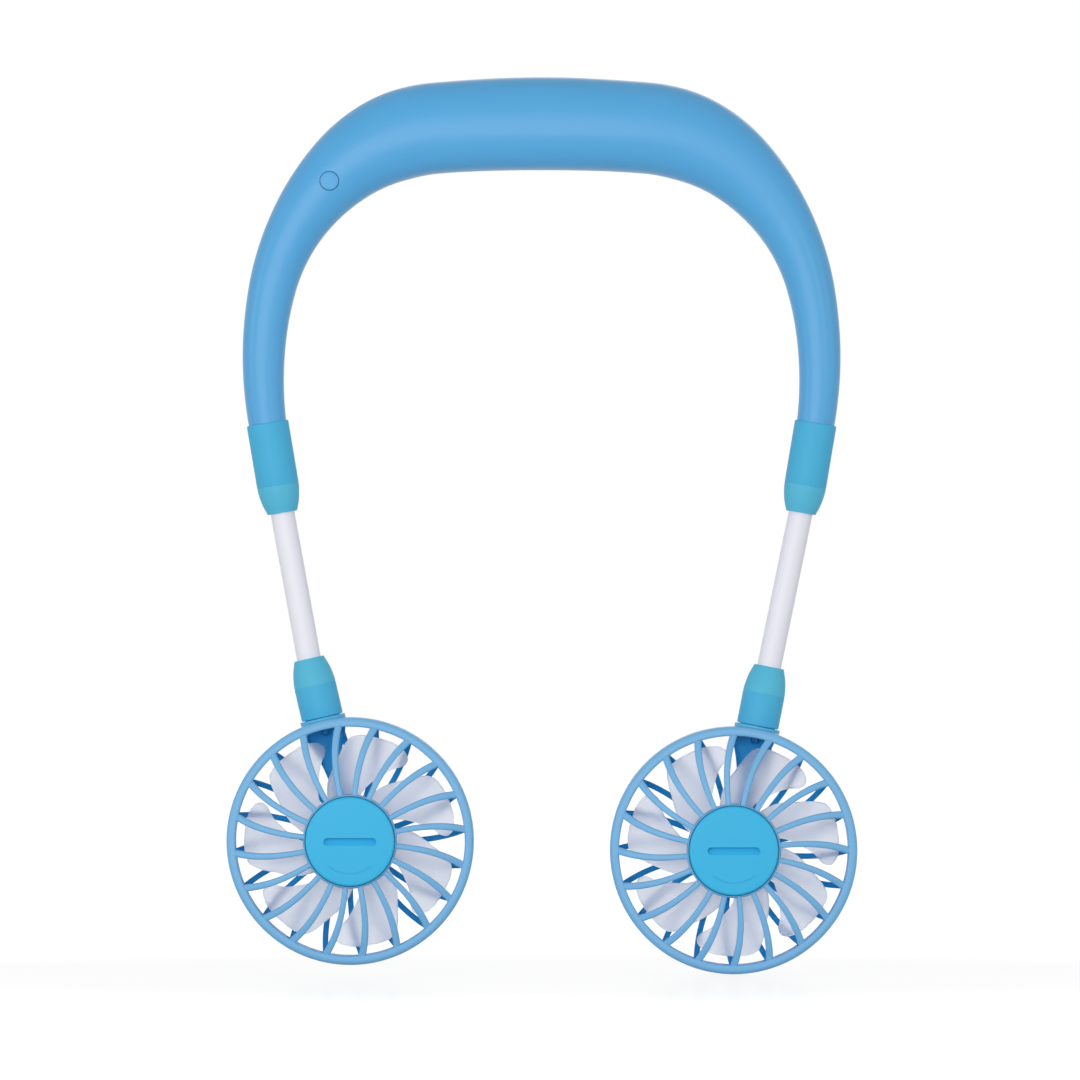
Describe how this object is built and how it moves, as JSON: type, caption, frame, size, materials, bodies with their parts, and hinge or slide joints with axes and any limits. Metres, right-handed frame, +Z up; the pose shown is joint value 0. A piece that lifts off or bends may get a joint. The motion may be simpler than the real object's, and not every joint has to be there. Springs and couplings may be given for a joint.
{
  "type": "wearable neck fan",
  "caption": "Neck band with a battery and power button, and two flexible arms that each end in a guarded round fan with a coin-slot cap.",
  "frame": {"origin": "bottom centre of the bounding box in the pictured pose, on the surface that the lower head touches", "axes": "+Z up the fan as pictured, from the heads to the middle of the band; -Y out of the front of the fan heads; +X to the right seen from the front"},
  "size_m": [0.1992, 0.031, 0.2834],
  "materials": {
    "band_plastic": "smooth satin light blue",
    "sleeve_silicone": "matt blue silicone",
    "white_silicone": "smooth white silicone",
    "guard_plastic": "satin light blue",
    "deep_blue_plastic": "satin deep blue",
    "blade_plastic": "milky white, slightly see-through",
    "cap_plastic": "satin cyan",
    "inner_plastic": "plain moulded",
    "black_plastic": "plain moulded",
    "clear_plastic": "clear light guide",
    "black_insulation": "matt cable cover",
    "blue_insulation": "matt cable cover",
    "board": "green circuit board",
    "cell": "shrink-wrapped battery cell",
    "nickel_steel": "nickel plated",
    "screw_steel": "plain steel",
    "motor_steel": "plated can",
    "felt": "cream felt"
  },
  "bodies": {
    "band": {"band_front_shell": "band_plastic", "band_rear_shell": "band_plastic", "battery_cell": "cell", "battery_cradle": "inner_plastic", "battery_leads": "black_insulation", "control_board": "board", "push_switch": "black_plastic", "charge_port": "nickel_steel", "charge_light": "clear_plastic", "band_screws": "screw_steel", "left_end_plug": "band_plastic", "left_upper_sleeve": "sleeve_silicone", "left_upper_ferrule": "nickel_steel", "left_band_cable": "black_insulation", "left_hose_skin": "white_silicone", "left_hose_cable": "black_insulation", "right_end_plug": "band_plastic", "right_upper_sleeve": "sleeve_silicone", "right_upper_ferrule": "nickel_steel", "right_band_cable": "black_insulation", "right_hose_skin": "white_silicone", "right_hose_cable": "black_insulation"},
    "button": {"power_button": "band_plastic"},
    "left_arm_1": {"left_hose_link_1": "nickel_steel"},
    "left_arm_2": {"left_hose_link_2": "nickel_steel"},
    "left_arm_3": {"left_hose_link_3": "nickel_steel"},
    "left_arm_4": {"left_hose_link_4": "nickel_steel"},
    "left_arm_5": {"left_hose_link_5": "nickel_steel"},
    "left_arm_6": {"left_lower_ferrule": "nickel_steel"},
    "left_head": {"left_lower_sleeve": "sleeve_silicone", "left_stem_socket": "deep_blue_plastic", "left_front_guard": "guard_plastic", "left_rear_guard": "deep_blue_plastic", "left_head_cable": "blue_insulation", "left_motor_can": "motor_steel"},
    "left_fan": {"left_motor_shaft": "screw_steel", "left_impeller": "blade_plastic"},
    "left_pad_holder": {"left_pad_tray": "inner_plastic", "left_aroma_pad": "felt"},
    "left_cap": {"left_aroma_cap": "cap_plastic"},
    "right_arm_1": {"right_hose_link_1": "nickel_steel"},
    "right_arm_2": {"right_hose_link_2": "nickel_steel"},
    "right_arm_3": {"right_hose_link_3": "nickel_steel"},
    "right_arm_4": {"right_hose_link_4": "nickel_steel"},
    "right_arm_5": {"right_hose_link_5": "nickel_steel"},
    "right_arm_6": {"right_lower_ferrule": "nickel_steel"},
    "right_head": {"right_lower_sleeve": "sleeve_silicone", "right_stem_socket": "deep_blue_plastic", "right_front_guard": "guard_plastic", "right_rear_guard": "deep_blue_plastic", "right_head_cable": "blue_insulation", "right_motor_can": "motor_steel"},
    "right_fan": {"right_motor_shaft": "screw_steel", "right_impeller": "blade_plastic"},
    "right_pad_holder": {"right_pad_tray": "inner_plastic", "right_aroma_pad": "felt"},
    "right_cap": {"right_aroma_cap": "cap_plastic"}
  },
  "joints": [
    {"name": "power_button_press", "type": "slide", "parent": "band", "child": "button", "axis": [0, 1, 0], "range_m": [0, 0.0007], "stiffness_N_per_m": 500, "springref_m": -0.0006},
    {"name": "left_arm_fore_1", "type": "hinge", "parent": "band", "child": "left_arm_1", "pos_m": [-0.08124, 0, 0.14189], "axis": [0.9839, 0, 0.1788], "range_deg": [-20, 20], "deforming": ["left_hose_skin", "left_hose_cable"]},
    {"name": "left_arm_side_1", "type": "hinge", "parent": "left_arm_1", "child": "left_arm_2", "pos_m": [-0.07984, 0, 0.13418], "axis": [0, 1, 0], "range_deg": [-8, 20]},
    {"name": "left_arm_fore_2", "type": "hinge", "parent": "left_arm_2", "child": "left_arm_3", "pos_m": [-0.07844, 0, 0.12647], "axis": [0.9839, 0, 0.1788], "range_deg": [-20, 20]},
    {"name": "left_arm_side_2", "type": "hinge", "parent": "left_arm_3", "child": "left_arm_4", "pos_m": [-0.07704, 0, 0.11876], "axis": [0, 1, 0], "range_deg": [-8, 20]},
    {"name": "left_arm_fore_3", "type": "hinge", "parent": "left_arm_4", "child": "left_arm_5", "pos_m": [-0.07564, 0, 0.11106], "axis": [0.9839, 0, 0.1788], "range_deg": [-20, 20]},
    {"name": "left_arm_side_3", "type": "hinge", "parent": "left_arm_5", "child": "left_arm_6", "pos_m": [-0.07424, 0, 0.10335], "axis": [0, 1, 0], "range_deg": [-8, 20]},
    {"name": "left_head_turn", "type": "hinge", "parent": "left_arm_6", "child": "left_head", "pos_m": [-0.07043, 0, 0.08585], "axis": [-0.2224, 0, 0.975], "range_deg": [-180, 180]},
    {"name": "left_fan_spin", "type": "hinge", "parent": "left_head", "child": "left_fan", "pos_m": [-0.06042, 0, 0.04197], "axis": [0, -1, 0], "continuous": true},
    {"name": "left_pad_lift", "type": "slide", "parent": "left_head", "child": "left_pad_holder", "axis": [0, -1, 0], "range_m": [0, 0.012]},
    {"name": "left_cap_turn", "type": "hinge", "parent": "left_pad_holder", "child": "left_cap", "pos_m": [-0.06042, -0.014, 0.04197], "axis": [0, -1, 0], "range_deg": [0, 90]},
    {"name": "right_arm_fore_1", "type": "hinge", "parent": "band", "child": "right_arm_1", "pos_m": [0.08111, 0, 0.14167], "axis": [-0.9796, 0, 0.2011], "range_deg": [-20, 20], "deforming": ["right_hose_skin", "right_hose_cable"]},
    {"name": "right_arm_side_1", "type": "hinge", "parent": "right_arm_1", "child": "right_arm_2", "pos_m": [0.07944, 0, 0.13354], "axis": [0, -1, 0], "range_deg": [-8, 20]},
    {"name": "right_arm_fore_2", "type": "hinge", "parent": "right_arm_2", "child": "right_arm_3", "pos_m": [0.07777, 0, 0.12541], "axis": [-0.9796, 0, 0.2011], "range_deg": [-20, 20]},
    {"name": "right_arm_side_2", "type": "hinge", "parent": "right_arm_3", "child": "right_arm_4", "pos_m": [0.0761, 0, 0.11728], "axis": [0, -1, 0], "range_deg": [-8, 20]},
    {"name": "right_arm_fore_3", "type": "hinge", "parent": "right_arm_4", "child": "right_arm_5", "pos_m": [0.07443, 0, 0.10915], "axis": [-0.9796, 0, 0.2011], "range_deg": [-20, 20]},
    {"name": "right_arm_side_3", "type": "hinge", "parent": "right_arm_5", "child": "right_arm_6", "pos_m": [0.07276, 0, 0.10102], "axis": [0, -1, 0], "range_deg": [-8, 20]},
    {"name": "right_head_turn", "type": "hinge", "parent": "right_arm_6", "child": "right_head", "pos_m": [0.06925, 0, 0.08322], "axis": [0.1917, 0, 0.9815], "range_deg": [-180, 180]},
    {"name": "right_fan_spin", "type": "hinge", "parent": "right_head", "child": "right_fan", "pos_m": [0.06062, 0, 0.03905], "axis": [0, -1, 0], "continuous": true},
    {"name": "right_pad_lift", "type": "slide", "parent": "right_head", "child": "right_pad_holder", "axis": [0, -1, 0], "range_m": [0, 0.012]},
    {"name": "right_cap_turn", "type": "hinge", "parent": "right_pad_holder", "child": "right_cap", "pos_m": [0.06062, -0.014, 0.03905], "axis": [0, -1, 0], "range_deg": [0, 90]}
  ],
  "couplings": [
    {"joint": "left_arm_fore_2", "follows": "left_arm_fore_1", "ratio": 1},
    {"joint": "left_arm_side_2", "follows": "left_arm_side_1", "ratio": 1},
    {"joint": "left_arm_fore_3", "follows": "left_arm_fore_1", "ratio": 1},
    {"joint": "left_arm_side_3", "follows": "left_arm_side_1", "ratio": 1},
    {"joint": "right_arm_fore_2", "follows": "right_arm_fore_1", "ratio": 1},
    {"joint": "right_arm_side_2", "follows": "right_arm_side_1", "ratio": 1},
    {"joint": "right_arm_fore_3", "follows": "right_arm_fore_1", "ratio": 1},
    {"joint": "right_arm_side_3", "follows": "right_arm_side_1", "ratio": 1}
  ]
}
